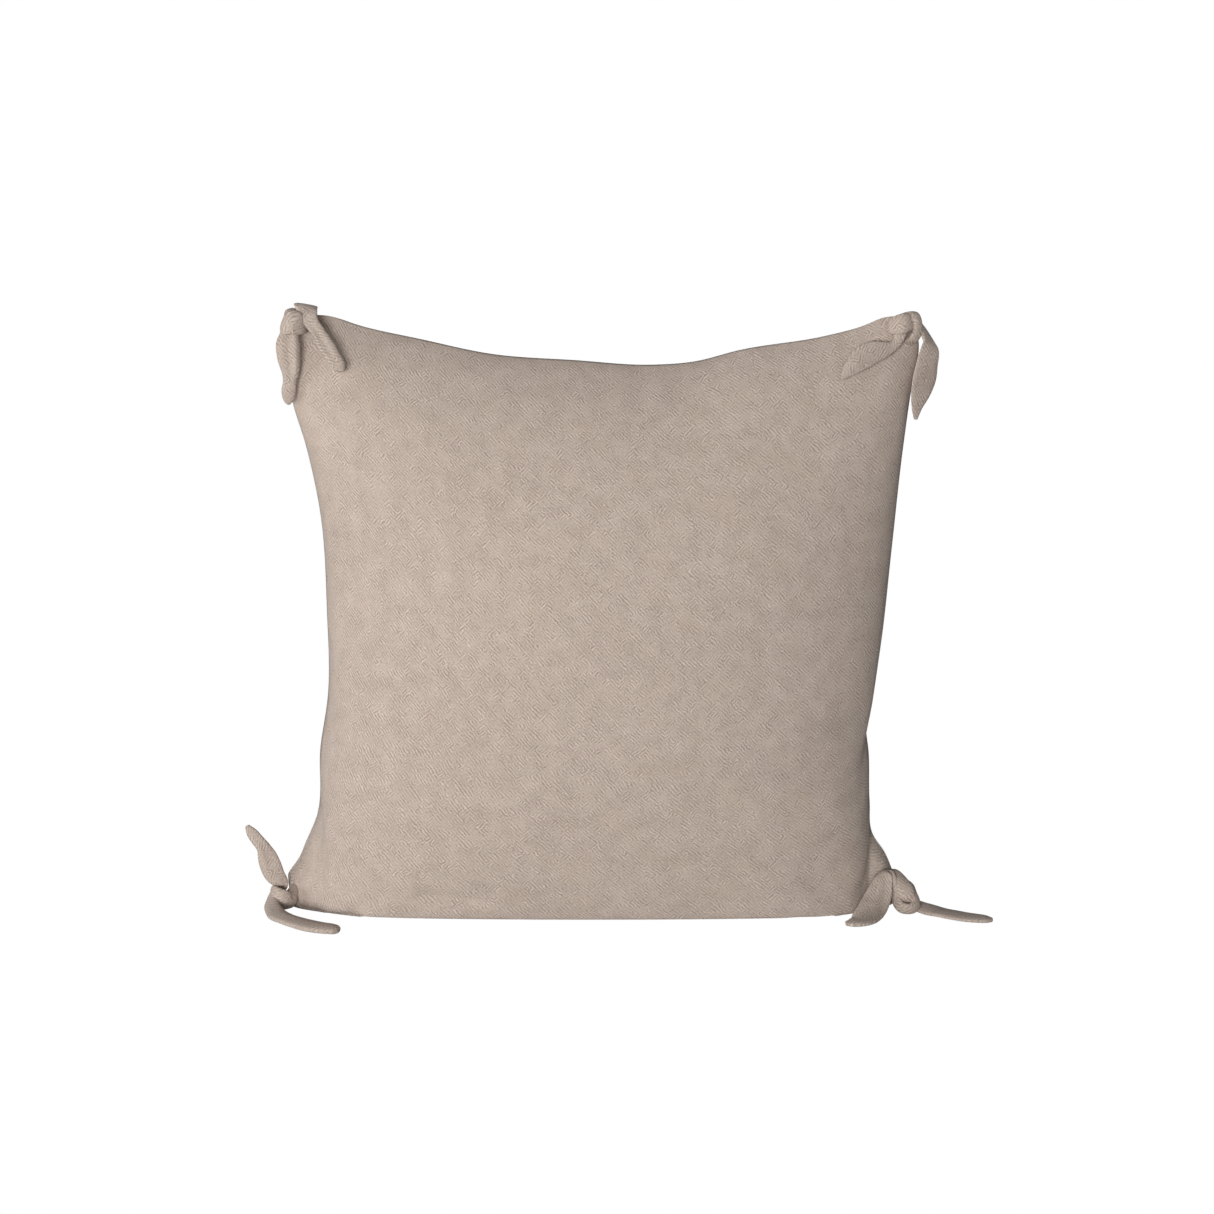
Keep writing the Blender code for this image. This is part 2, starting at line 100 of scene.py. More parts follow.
# %% [markdown]
# ## Cloth finish
# The cover is a coarse linen twill: threads about a millimetre apart make diagonal ribs, which
# change direction in small patches. Thick and thin yarn gives slubs that run along
# the threads both ways. The pattern reads each piece's own UV map, in metres of flat cloth, so
# that it follows the weave over every curve and fold. Small functions keep the node code short.

# %% Node helpers
def new_material(name):
    made = bpy.data.materials.new(name)
    made.use_nodes = True
    return made, made.node_tree, made.node_tree.nodes["Principled BSDF"]


def put(tree, socket, value):
    """Links a node's output to a socket, or sets a plain value on it."""
    if isinstance(value, bpy.types.NodeSocket):
        tree.links.new(value, socket)
    else:
        socket.default_value = value


def math_node(tree, operation, *values):
    node = tree.nodes.new("ShaderNodeMath")
    node.operation = operation
    for socket, value in zip(node.inputs, values):
        put(tree, socket, value)
    return node.outputs[0]


def scaled(tree, vector, scale):
    """The vector stretched by a factor along each axis."""
    node = tree.nodes.new("ShaderNodeMapping")
    put(tree, node.inputs["Vector"], vector)
    node.inputs["Scale"].default_value = scale
    return node.outputs[0]


def noise(tree, vector, scale, detail=2.0, roughness=0.5):
    node = tree.nodes.new("ShaderNodeTexNoise")
    put(tree, node.inputs["Vector"], vector)
    node.inputs["Scale"].default_value = scale
    node.inputs["Detail"].default_value = detail
    node.inputs["Roughness"].default_value = roughness
    return node.outputs["Fac"]


def remap(tree, value, low, high, to_low, to_high):
    node = tree.nodes.new("ShaderNodeMapRange")
    node.interpolation_type = "SMOOTHSTEP"
    limits = {"From Min": low, "From Max": high, "To Min": to_low, "To Max": to_high}
    for name, number in limits.items():
        node.inputs[name].default_value = number
    put(tree, node.inputs["Value"], value)
    return node.outputs["Result"]


def mix_colour(tree, factor, first, second):
    node = tree.nodes.new("ShaderNodeMix")
    node.data_type = "RGBA"
    put(tree, node.inputs[0], factor)
    put(tree, node.inputs[6], first)
    put(tree, node.inputs[7], second)
    return node.outputs[2]


def add_bump(tree, shader, height, strength, distance):
    bump = tree.nodes.new("ShaderNodeBump")
    bump.inputs["Strength"].default_value = strength
    bump.inputs["Distance"].default_value = distance
    put(tree, bump.inputs["Height"], height)
    put(tree, shader.inputs["Normal"], bump.outputs[0])


# %% Linen twill
RIB = 0.0036  # from one diagonal rib to the next, along a thread
THREAD = RIB / 4  # a two-and-two twill repeats every four threads
TURN = 2.0 * math.pi
# Scales of the linen's noises, in features per metre of cloth.
WANDER, JITTER = 80.0, 300.0  # ribs that stray slowly and quickly
PATCH, STRENGTH = 95.0, 120.0  # where the ribs turn, and where they show
SLUB_LENGTHWAYS, SLUB_ACROSS = 24.0, 0.6 / THREAD
MOTTLE, GRAIN, CLOUD, WARMTH = 55.0, 560.0, 9.0, 30.0
LINEN_LIGHT = (0.650, 0.545, 0.476, 1.0)
LINEN_DARK = (0.340, 0.270, 0.225, 1.0)
LINEN_WARM = (0.500, 0.400, 0.315, 1.0)
RELIEF = 0.0004  # height of the weave


def shaded(colour, shade):
    return tuple(channel * shade for channel in colour[:3]) + (1.0,)


def flat_noise(tree, flat, scale, detail, roughness=0.5, third=1.0):
    """Noise on the flat cloth, with one scale or a pair of them, in features per metre."""
    first, second = scale if isinstance(scale, tuple) else (scale, scale)
    return noise(tree, scaled(tree, flat, (first, second, third)), 1.0, detail, roughness)


def centred(tree, value, weight):
    """A noise moved to swing about zero, then weighted."""
    return math_node(tree, "MULTIPLY", math_node(tree, "SUBTRACT", value, 0.5), weight)


def add_weighted(tree, total, parts):
    for part, weight in parts:
        total = math_node(tree, "ADD", total, math_node(tree, "MULTIPLY", part, weight))
    return total


def twill_ribs(tree, flat, across, along):
    """Diagonal ribs from -1 to 1, which stray a little and turn the other way in patches."""
    wander = centred(tree, flat_noise(tree, flat, WANDER, 2.0), 1.5)
    jitter = flat_noise(tree, flat, JITTER, 1.0)
    wander = math_node(tree, "ADD", wander, centred(tree, jitter, 0.9))

    def rib(direction):
        line = math_node(tree, "ADD", across, math_node(tree, "MULTIPLY", along, direction))
        turns = math_node(tree, "ADD", math_node(tree, "MULTIPLY", line, 1.0 / RIB), wander)
        return math_node(tree, "SINE", math_node(tree, "MULTIPLY", turns, TURN))

    patch = flat_noise(tree, flat, PATCH, 1.0)
    turned = remap(tree, patch, 0.56, 0.62, 0.0, 1.0)
    keep = math_node(tree, "SUBTRACT", 1.0, turned)
    rising = math_node(tree, "MULTIPLY", rib(1.0), keep)
    falling = math_node(tree, "MULTIPLY", rib(-1.0), turned)
    strength = flat_noise(tree, flat, STRENGTH, 2.0)
    shown = remap(tree, strength, 0.38, 0.62, 0.15, 1.0)
    return math_node(tree, "MULTIPLY", math_node(tree, "ADD", rising, falling), shown)


# %% Linen finish
def linen(name, shade=1.0):
    """Linen twill on the piece's UV map, in metres."""
    made, tree, shader = new_material(name)
    uv = tree.nodes.new("ShaderNodeUVMap")
    uv.uv_map = "cloth"
    flat = uv.outputs[0]
    split = tree.nodes.new("ShaderNodeSeparateXYZ")
    put(tree, split.inputs[0], flat)
    across, along = split.outputs[0], split.outputs[1]
    ribs = twill_ribs(tree, flat, across, along)
    warp_slub = flat_noise(tree, flat, (SLUB_ACROSS, SLUB_LENGTHWAYS), 3.0, 0.6)
    weft_slub = flat_noise(tree, flat, (SLUB_LENGTHWAYS, SLUB_ACROSS), 3.0, 0.6, 7.0)
    thick_warp = remap(tree, warp_slub, 0.60, 0.78, 0.0, 1.0)
    thick_weft = remap(tree, weft_slub, 0.60, 0.78, 0.0, 1.0)
    mottle = flat_noise(tree, flat, MOTTLE, 4.0, 0.65)
    grain = flat_noise(tree, flat, GRAIN, 2.0, 0.7)
    cloud = flat_noise(tree, flat, CLOUD, 3.0)

    tone = math_node(tree, "MULTIPLY", ribs, 0.46)
    tone = add_weighted(tree, tone, ((thick_warp, 0.20), (thick_weft, 0.16)))
    for part, weight in ((mottle, 0.75), (grain, 1.35), (cloud, 0.22)):
        tone = math_node(tree, "ADD", tone, centred(tree, part, weight))
    tone = math_node(tree, "ADD", tone, 0.46)
    colour = mix_colour(tree, tone, shaded(LINEN_DARK, shade), shaded(LINEN_LIGHT, shade))
    warm = remap(tree, flat_noise(tree, flat, WARMTH, 3.0, 0.5, 3.0), 0.45, 0.75, 0.0, 0.28)
    colour = mix_colour(tree, warm, colour, shaded(LINEN_WARM, shade))
    put(tree, shader.inputs["Base Color"], colour)
    put(tree, shader.inputs["Roughness"], remap(tree, grain, 0.3, 0.7, 0.86, 0.96))
    shader.inputs["Sheen Weight"].default_value = 0.12
    shader.inputs["Sheen Roughness"].default_value = 0.5
    shader.inputs["Specular IOR Level"].default_value = 0.25

    thread_warp = math_node(tree, "SINE", math_node(tree, "MULTIPLY", across, TURN / THREAD))
    thread_weft = math_node(tree, "SINE", math_node(tree, "MULTIPLY", along, TURN / THREAD))
    height = math_node(tree, "MULTIPLY", ribs, 0.5)
    threads = ((thread_warp, 0.10), (thread_weft, 0.10), (thick_warp, 0.6), (thick_weft, 0.6))
    height = add_weighted(tree, height, threads + ((mottle, 1.2),))
    add_bump(tree, shader, height, 0.6, RELIEF)
    return made


cover_linen = linen("oatmeal_twill")
tie_linen = linen("oatmeal_twill_ties", shade=0.97)
print("linen finishes made")

# %% [markdown]
# ## The cover
# A cushion cover is two flat squares sewn together round the edge. Filled, its faces bulge, its
# sides pull in between the corners and the lower edge settles on the floor. The seam line is set
# first, from a few places along each side. The faces are then inflated as cloth, a little larger
# than the seam allows, so that the weave is pulled over the filling and ripples softly near it.

# %% Seam line
# Each pair is a share of the side's length and how far, in millimetres, the seam lies inside the
# straight line between the two corner tips. The sides run upwards and the edges to the right.
LEFT_PULL = [
    (0, 0), (0.012, -10), (0.027, -15), (0.04, -11), (0.055, -5), (0.09, 3.5), (0.13, 13), (0.26, 19),
    (0.35, 27), (0.5, 28), (0.67, 24), (0.78, 13), (0.87, 0), (0.95, -3), (1, 0),
]
RIGHT_PULL = [
    (0, 0), (0.04, 8), (0.07, 15), (0.1, 26), (0.16, 30), (0.25, 32), (0.3, 35), (0.35, 29.5),
    (0.44, 23), (0.61, 15), (0.78, 7), (0.89, 0), (0.95, -5), (1, 0),
]
TOP_PULL = [
    (0, 0), (0.06, -1), (0.12, 9), (0.21, 20), (0.32, 33), (0.46, 39), (0.58, 43), (0.65, 40),
    (0.72, 30), (0.86, 17), (0.92, 8), (0.95, 1), (1, 0),
]
LOWER_PULL = [(0, 0), (0.07, -5), (0.14, -8), (0.5, -8), (0.86, -8), (0.93, -5), (1, 0)]
MM = 0.001


def through(pairs, at):
    """A smooth curve through a few (place, value) pairs, read at many places."""
    places, values = np.array(pairs, float).T
    slopes = np.gradient(values, places)
    index = np.clip(np.searchsorted(places, at, side="right") - 1, 0, len(places) - 2)
    step = places[index + 1] - places[index]
    t = (at - places[index]) / step
    return (
        values[index] * (2 * t**3 - 3 * t**2 + 1)
        + slopes[index] * step * (t**3 - 2 * t**2 + t)
        + values[index + 1] * (3 * t**2 - 2 * t**3)
        + slopes[index + 1] * step * (t**3 - t**2)
    )


CELLS = 110  # across a panel
COUNT = CELLS + 1
even = np.linspace(-1.0, 1.0, COUNT)
STEPS = 0.5 + 0.5 * (0.6 * even + 0.4 * np.sin(even * math.pi / 2))  # closer together at the seam


def seam_sides():
    """The four sides of the seam as (x, z) points: left, right, lower and upper."""
    height = CORNER_TOP - CORNER_LIFT
    upwards = CORNER_LIFT + height * STEPS
    across = -HALF_SPAN + 2 * HALF_SPAN * STEPS
    left = np.stack([-HALF_SPAN + through(LEFT_PULL, STEPS) * MM, upwards], axis=-1)
    right = np.stack([HALF_SPAN - through(RIGHT_PULL, STEPS) * MM, upwards], axis=-1)
    lower = np.stack([across, CORNER_LIFT + through(LOWER_PULL, STEPS) * MM], axis=-1)
    upper = np.stack([across, CORNER_TOP - through(TOP_PULL, STEPS) * MM], axis=-1)
    return left, right, lower, upper


def swell(t):
    """Share of the full thickness, 0 at a seam and 1 in the middle."""
    return np.maximum(0.0, 1.0 - np.abs(t) ** 2.2) ** 0.55


SLUMP_REACH = 0.50  # share of the height in which the sunken filling rounds out the lower corners
LOWER_FULLNESS = 0.25  # how much fuller the sunken lower edge is
UPPER_TAPER = 0.45  # how much thinner the upper half becomes towards its seam


def filled_face(side):
    """One face of the filled cushion: rows of points between the seams, side -1 front or 1 back."""
    left, right, lower, upper = seam_sides()
    s = STEPS[None, :, None]
    t = STEPS[:, None, None]
    flat = (1 - s) * left[:, None] + s * right[:, None] + (1 - t) * lower[None] + t * upper[None]
    for i, j, corner in ((0, 0, lower[0]), (1, 0, lower[-1]), (0, 1, upper[0]), (1, 1, upper[-1])):
        flat = flat - (s if i else 1 - s) * (t if j else 1 - t) * corner
    u, v = np.meshgrid(2 * STEPS - 1, 2 * STEPS - 1)
    slump = np.clip(1.0 - (v + 1.0) / 2.0 / SLUMP_REACH, 0.0, 1.0) ** 1.6
    full = np.sqrt(np.maximum(0.0, 1.0 - np.abs(u) ** 10))
    slope = 1.0 - LOWER_FULLNESS * slump + UPPER_TAPER * np.maximum(0.0, v)
    depth = HALF_THICK * (swell(u) + slump * (full - swell(u))) * swell(v) ** slope
    return np.stack([flat[..., 0], side * depth, flat[..., 1]], axis=-1)


upper_seam = seam_sides()[3]
print("upper seam from", upper_seam.min(axis=0).round(3), "to", upper_seam.max(axis=0).round(3))

# %% Both faces as one sewn mesh
def panel_faces(turned):
    """Quads of one panel by row and column, wound the other way for the back."""
    faces = []
    for row in range(CELLS):
        for column in range(CELLS):
            face = [(row, column), (row, column + 1), (row + 1, column + 1), (row + 1, column)]
            faces.append(face[::-1] if turned else face)
    return faces


def sewn_cover():
    """Points and quads of both faces, which share the seam's points, and each face's point numbers."""
    front = filled_face(-1).reshape(-1, 3)
    back = filled_face(1).reshape(-1, 3)
    number = np.arange(COUNT * COUNT)
    row, column = np.divmod(number, COUNT)
    rim = (row == 0) | (row == CELLS) | (column == 0) | (column == CELLS)
    back_number = np.where(rim, number, 0)
    back_number[~rim] = COUNT * COUNT + np.arange((~rim).sum())
    points = np.concatenate([front, back[~rim]])
    faces = []
    for table, turned in ((number, False), (back_number, True)):
        for face in panel_faces(turned):
            faces.append(tuple(int(table[r * COUNT + c]) for r, c in face))
    return points, faces, {"front": number, "back": back_number}, number[rim]


# %% Inflate as cloth
SLACK = 1.012  # the cloth is this much larger than the filled shape
FRAMES = 20
PRESSURE = 4.0


def inflate(points, faces, seam, frames):
    """Runs the cloth with its seam held, and returns the settled points."""
    mesh = bpy.data.meshes.new("cover_cloth")
    mesh.from_pydata(points.tolist(), [], faces)
    obj = bpy.data.objects.new("cover_cloth", mesh)
    bpy.context.scene.collection.objects.link(obj)
    obj.shape_key_add(name="Basis")
    cut = obj.shape_key_add(name="cut")
    middle = points.mean(axis=0)
    cut.data.foreach_set("co", (middle + (points - middle) * SLACK).astype(np.float32).ravel())
    held = obj.vertex_groups.new(name="seam")
    held.add([int(index) for index in seam], 1.0, "REPLACE")
    cloth = obj.modifiers.new("cloth", "CLOTH")
    settings = cloth.settings
    settings.quality = 6
    settings.mass = 0.25
    settings.air_damping = 2.0
    settings.tension_stiffness = 25.0
    settings.compression_stiffness = 25.0
    settings.shear_stiffness = 8.0
    settings.bending_stiffness = 4.0
    settings.tension_damping = 10.0
    settings.compression_damping = 10.0
    settings.shear_damping = 10.0
    settings.use_pressure = True
    settings.uniform_pressure_force = PRESSURE
    settings.rest_shape_key = cut
    settings.vertex_group_mass = held.name
    settings.effector_weights.gravity = 0.0
    cloth.collision_settings.use_collision = False
    cloth.point_cache.frame_start = 1
    cloth.point_cache.frame_end = frames
    scene = bpy.context.scene
    for number in range(1, frames + 1):
        scene.frame_set(number)
    result = obj.evaluated_get(bpy.context.evaluated_depsgraph_get()).to_mesh()
    settled = np.zeros(len(points) * 3, np.float32)
    result.vertices.foreach_get("co", settled)
    bpy.data.objects.remove(obj, do_unlink=True)
    scene.frame_set(1)
    return settled.reshape(-1, 3).astype(float)


cover_points, cover_faces, face_numbers, seam_numbers = sewn_cover()
filled = cover_points.copy()
cover_points = inflate(cover_points, cover_faces, seam_numbers, FRAMES)
print("cloth moved by up to", np.abs(cover_points - filled).max().round(4), "thickness",
      np.ptp(cover_points[:, 1]).round(4))

# %% [markdown]
# ## Settling and creases
# The filled lower edge sinks and spreads flat on the floor, while its seam stays just above it in a
# shallow groove. A few soft creases run in from the lower corners, where the cloth is drawn together.

# %% Settle on the floor
FLOOR_SAG = 0.066
CORNER_SAG = 0.4  # how much more the corners sink
SEAM_HOLD = 0.024  # the seam holds the cloth up within this distance
GROOVE_HALF = 0.008
FLOOR_CLEAR = 0.0011
FACE_INSET = 0.0005  # of the faces inside the frame's full thickness


def settle(points):
    points = points.copy()
    points[:, 1] *= (HALF_THICK - FACE_INSET) / np.abs(points[:, 1]).max()
    depth = np.abs(points[:, 1])
    drop = FLOOR_SAG * (1.0 + CORNER_SAG * (points[:, 0] / HALF_SPAN) ** 4)
    freed = np.minimum(1.0, depth / SEAM_HOLD)
    drop *= freed**2 * (3.0 - 2.0 * freed) * np.maximum(0.0, 1.0 - points[:, 2] / CORNER_TOP) ** 2
    rim = np.minimum(points[:, 2], CORNER_LIFT) * np.maximum(0.0, 1.0 - depth / GROOVE_HALF)
    points[:, 2] = np.maximum(np.maximum(points[:, 2] - drop, FLOOR_CLEAR), rim)
    return points


def crease(points, start, end, half_width, depth):
    """Presses a soft line into the front face between two (x, z) places."""
    start, end = np.array(start), np.array(end)
    run = end - start
    flat = points[:, [0, 2]]
    share = ((flat - start) @ run) / (run @ run)
    nearest = start + np.clip(share, 0.0, 1.0)[:, None] * run
    away = np.linalg.norm(flat - nearest, axis=1)
    fade = np.clip(1.5 - np.abs(share - 0.4) * 1.5, 0.0, 1.0)
    front = points[:, 1] < -2 * MM  # clear of the seam
    points[front, 1] += (depth * fade * np.exp(-((away / half_width) ** 2)))[front]
    return points


# Each crease is its start, its end, its half width and its depth, measured from the middle.
CREASES = (
    ((-0.270, 0.060), (-0.225, 0.075), 0.012, 0.003),
    ((-0.165, 0.026), (-0.110, 0.020), 0.006, 0.003),
    ((0.260, 0.040), (0.236, 0.016), 0.006, 0.004),
    ((0.248, 0.172), (0.212, 0.180), 0.012, 0.005),
    ((0.250, 0.110), (0.225, 0.105), 0.010, 0.003),
)
cover_points = settle(cover_points)
for start, end, half_width, depth in CREASES:
    cover_points = crease(cover_points, start, end, half_width, depth)
cover_points[:, 0] += MIDDLE_X
print("cover", cover_points.min(axis=0).round(4), cover_points.max(axis=0).round(4))

# %% Two cover panels
zip_low, zip_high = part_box("zip_tape_front")
CUT = 0.600  # side of each flat panel, seam to seam
CLOTH = 0.001
SEAM_HALF = 0.0002
SLIT_HALF = 0.0010  # half the opening over the zip
SLIT_FADE = 0.020  # over which the opening closes past each end of the zip


def along_zip(x, fade):
    """1 beside the zip, falling to 0 over a distance past its ends."""
    past = np.abs(x - (zip_low.x + zip_high.x) / 2) - (zip_high.x - zip_low.x) / 2
    return np.clip(1.0 - past / fade, 0.0, 1.0)


def flat_places(grid):
    """Where each point of a panel lies on the flat cut, from the lengths along its rows and columns."""
    flat = np.zeros((COUNT, COUNT, 2))
    for axis in (0, 1):
        lengths = np.linalg.norm(np.diff(grid, axis=1 - axis), axis=-1)
        total = lengths.sum(axis=1 - axis, keepdims=True)
        along = np.cumsum(lengths, axis=1 - axis) / total
        if axis == 0:
            flat[:, 1:, 0] = along
        else:
            flat[1:, :, 1] = along
    return (flat - 0.5) * CUT


def add_mesh(name, points, faces, finish, flat=None):
    """A smooth mesh with its flat cloth places as a UV map, in metres."""
    mesh = bpy.data.meshes.new(name)
    mesh.from_pydata(np.asarray(points, float).tolist(), [], faces)
    if flat is not None:
        layer = mesh.uv_layers.new(name="cloth")
        loops = np.zeros(len(mesh.loops), np.int32)
        mesh.loops.foreach_get("vertex_index", loops)
        layer.data.foreach_set("uv", np.asarray(flat, np.float32).reshape(-1, 2)[loops].ravel())
    mesh.shade_smooth()
    mesh.materials.append(finish)
    obj = bpy.data.objects.new(name, mesh)
    bpy.context.scene.collection.objects.link(obj)
    return obj


def finer(obj):
    smooth = obj.modifiers.new("finer", "SUBSURF")
    smooth.levels = 1
    smooth.render_levels = 1


def add_panel(name, place, side):
    grid = cover_points[face_numbers[place]].reshape(COUNT, COUNT, 3)
    flat = flat_places(grid)
    rim = np.zeros((COUNT, COUNT), bool)
    rim[[0, -1], :] = rim[:, [0, -1]] = True
    grid[rim, 1] += side * SEAM_HALF
    grid[0, :, 1] += side * (SLIT_HALF - SEAM_HALF) * along_zip(grid[0, :, 0], SLIT_FADE)
    faces = [tuple(r * COUNT + c for r, c in face) for face in panel_faces(side > 0)]
    obj = add_mesh(name, grid.reshape(-1, 3), faces, cover_linen, flat)
    finer(obj)
    wall = obj.modifiers.new("wall", "SOLIDIFY")
    wall.thickness = CLOTH
    wall.offset = -1.0
    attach(obj, "cushion")
    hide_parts(place + "_panel")
    return obj


front_cover = add_panel("cover_front", "front", -1)
back_cover = add_panel("cover_back", "back", 1)
print("cover panels made")

# %% Inner pad
# The pad is the same shape a few millimetres smaller, with its lower edge lifted over the zip.
PAD_INSET = 0.009
PAD_GAP = 0.005
PAD_LIFT = 0.008
PAD_FADE = 0.035  # over which it comes down again past each end of the zip
NOTCH_HALF, NOTCH_HEIGHT = 0.022, 0.056


def pad_points():
    points = cover_points.copy()
    middle = np.array([MIDDLE_X, 0.0, CORNER_TOP / 2])
    half = np.array([HALF_SPAN * 0.9, np.inf, CORNER_TOP / 2])
    points = middle + (points - middle) * (1.0 - PAD_INSET / half)
    points[:, 1] -= np.sign(points[:, 1]) * np.minimum(np.abs(points[:, 1]), PAD_GAP)
    near_seam = np.maximum(0.0, 1.0 - np.abs(points[:, 1]) / NOTCH_HALF)
    near_floor = np.maximum(0.0, 1.0 - points[:, 2] / NOTCH_HEIGHT)
    points[:, 2] += PAD_LIFT * along_zip(points[:, 0], PAD_FADE) * (near_seam * near_floor)
    return points


pad_cotton, pad_tree, pad_shader = new_material("pad_cotton")
pad_object = pad_tree.nodes.new("ShaderNodeTexCoord").outputs["Object"]
pad_weave = noise(pad_tree, scaled(pad_tree, pad_object, (900.0, 900.0, 900.0)), 1.0, 2.0)
pad_colour = mix_colour(pad_tree, pad_weave, (0.74, 0.71, 0.64, 1.0), (0.84, 0.81, 0.75, 1.0))
put(pad_tree, pad_shader.inputs["Base Color"], pad_colour)
pad_shader.inputs["Roughness"].default_value = 0.85
inner_pad = add_mesh("inner_pad", pad_points(), cover_faces, pad_cotton)
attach(inner_pad, "cushion")
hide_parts("filling", "inner_case_front", "inner_case_back")
print("pad made, its lowest point", round(min(v.co.z for v in inner_pad.data.vertices), 4))

# %% [markdown]
# ## Corner ties
# Each corner has two strips of the cover's linen, sewn as narrow tubes, turned and pressed. They
# are tied once round each other, so each corner shows a small knot with one strip wrapped across
# its front, and two soft tails with narrowed ends. A strip is drawn through a few places measured
# from its corner tip, with its width, its thickness and the way its face looks at each one.

# %% Strip builder
RINGS = 120  # along a strip
ROUND = 20  # round it
ROOT = 0.07  # share of a strip that may lie inside the cushion
COVER_GAP = 0.0004  # between a tail and the cover it lies on
LOWEST = 0.0003  # of the cloth above the floor
FOLD_SPREAD = 0.28  # of a fold, as a share of the strip's half width
front_tree = BVHTree.FromPolygons([tuple(p) for p in cover_points], cover_faces)


def smooth_rows(rows, count):
    """Evenly spaced rows on a centripetal Catmull-Rom curve through the given ones."""
    rows = np.asarray(rows, float)
    padded = np.vstack([2 * rows[0] - rows[1], rows, 2 * rows[-1] - rows[-2]])
    fine = []
    for p0, p1, p2, p3 in zip(padded, padded[1:], padded[2:], padded[3:]):
        steps = (p1[:3] - p0[:3], p2[:3] - p1[:3], p3[:3] - p2[:3])
        gaps = [math.sqrt(max(np.linalg.norm(step), 1e-5)) for step in steps]
        k0, k1, k2, k3 = np.cumsum([0.0] + gaps)
        for t in np.linspace(k1, k2, 24, endpoint=False):
            a1 = p0 + (p1 - p0) * (t - k0) / (k1 - k0)
            a2 = p1 + (p2 - p1) * (t - k1) / (k2 - k1)
            a3 = p2 + (p3 - p2) * (t - k2) / (k3 - k2)
            b1 = a1 + (a2 - a1) * (t - k0) / (k2 - k0)
            b2 = a2 + (a3 - a2) * (t - k1) / (k3 - k1)
            fine.append(b1 + (b2 - b1) * (t - k1) / (k2 - k1))
    fine.append(rows[-1])
    fine = np.array(fine)
    along = np.concatenate([[0.0], np.cumsum(np.linalg.norm(np.diff(fine[:, :3], axis=0), axis=1))])
    wanted = np.linspace(0.0, along[-1], count)
    columns = [np.interp(wanted, along, column) for column in fine.T]
    return np.stack(columns, axis=-1), along[-1]


def unit_rows(vectors):
    return vectors / np.maximum(np.linalg.norm(vectors, axis=-1, keepdims=True), 1e-9)


def lay_on_cover(rows):
    """Pushes rows out of the cushion's front, so that a tail lies on it instead of in it."""
    push = np.zeros(len(rows))
    for index, row in enumerate(rows):
        for shift in (-0.4, 0.0, 0.4):
            x = row[0] + shift * row[6] * 0.7
            hit = front_tree.ray_cast(Vector((x, -1.0, row[2])), Vector((0.0, 1.0, 0.0)))[0]
            if hit is not None:
                push[index] = min(push[index], hit.y - row[7] / 2 - COVER_GAP - row[1])
    push *= np.clip(np.linspace(0.0, 1.0, len(rows)) / ROOT - 0.5, 0.0, 1.0)  # the root stays in the seam
    kernel = np.hanning(11) / np.hanning(11).sum()
    lowest = np.array([push[max(0, i - 4) : i + 5].min() for i in range(len(push))])
    rows[:, 1] += np.convolve(np.pad(lowest, 5, mode="edge"), kernel, mode="valid")
    return rows


def strip(name, corner, stations, folds=()):
    """A soft flat tube through stations of (x, y, z, width, thickness, facing), in millimetres.

    A fold is (place across, from share, to share, height) and runs along the strip.
    """
    tip = TIPS[corner]
    rows = []
    for x, y, z, width, thickness, facing in stations:
        place = tip + np.array([x, y, z]) * MM
        rows.append([*place, *unit_rows(np.array(facing, float)), width * MM, thickness * MM])
    rows, length = smooth_rows(rows, RINGS)
    rows = lay_on_cover(rows)
    tangents = unit_rows(np.gradient(rows[:, :3], axis=0))
    across = unit_rows(np.cross(tangents, rows[:, 3:6]))
    normals = np.cross(across, tangents)
    share = np.linspace(0.0, 1.0, RINGS)
    angles = np.arange(ROUND) * TURN / ROUND
    side = np.cos(angles)
    rise = np.sign(np.sin(angles)) * np.abs(np.sin(angles)) ** 0.75
    points = np.zeros((RINGS, ROUND, 3))
    flat = np.zeros((RINGS, ROUND, 2))
    for index in range(RINGS):
        s = share[index]
        lift = np.zeros(ROUND)
        for place, begin, end, height in folds:
            inside = min(1.0, max(0.0, (s - begin) / (end - begin)))
            window = max(0.0, math.sin(math.pi * inside)) ** 0.7
            lift += height * MM * window * np.exp(-(((side - place) / FOLD_SPREAD) ** 2))
        half_width = rows[index, 6] / 2
        half_thick = rows[index, 7] / 2
        points[index] = (
            rows[index, :3]
            + np.outer(side * half_width, across[index])
            + np.outer(rise * half_thick + lift, normals[index])
        )
        flat[index, :, 0] = side * half_width
        flat[index, :, 1] = s * length
    points[..., 2] = np.maximum(points[..., 2], LOWEST)
    faces = []
    for ring in range(RINGS - 1):
        for step in range(ROUND):
            here = ring * ROUND + step
            after = ring * ROUND + (step + 1) % ROUND
            faces.append((after, here, here + ROUND, after + ROUND))
    faces.append(tuple(range(ROUND)))
    faces.append(tuple(range(RINGS * ROUND - 1, (RINGS - 1) * ROUND - 1, -1)))
    obj = add_mesh(name, points.reshape(-1, 3), faces, tie_linen, flat.reshape(-1, 2))
    finer(obj)
    return obj, length


FRONT = (0, -1, 0)
UP = (0, 0, 1)

# %% Upper left knot
# One strip goes up behind the knot and hangs in front of the corner. The other is wrapped across
# the knot's front, folds over its top and lies on the cushion's face.
TIES = {}
TIES["top_left_back"] = strip("tie_top_left_hanging", "top_left", [
    (6, 1, -8, 10, 6, FRONT), (5, -1, 2, 12, 6, FRONT), (4, -7, 4, 13, 6, (0, -0.5, 1)),
    (3, -12, -3, 13, 6, FRONT), (2.5, -15, -14, 17, 6, FRONT), (1.5, -18, -24, 22, 6, FRONT),
    (2, -19, -36, 21, 6, FRONT), (3, -18, -47, 17, 6, FRONT), (2, -17, -57, 12.5, 6, FRONT),
    (0.5, -16, -66, 13, 6, FRONT), (0, -15, -74, 9, 5, FRONT), (0, -15, -78, 3, 3, FRONT),
], folds=[(-0.62, 0.25, 0.80, 3.2), (-0.15, 0.27, 0.76, -2.2)])
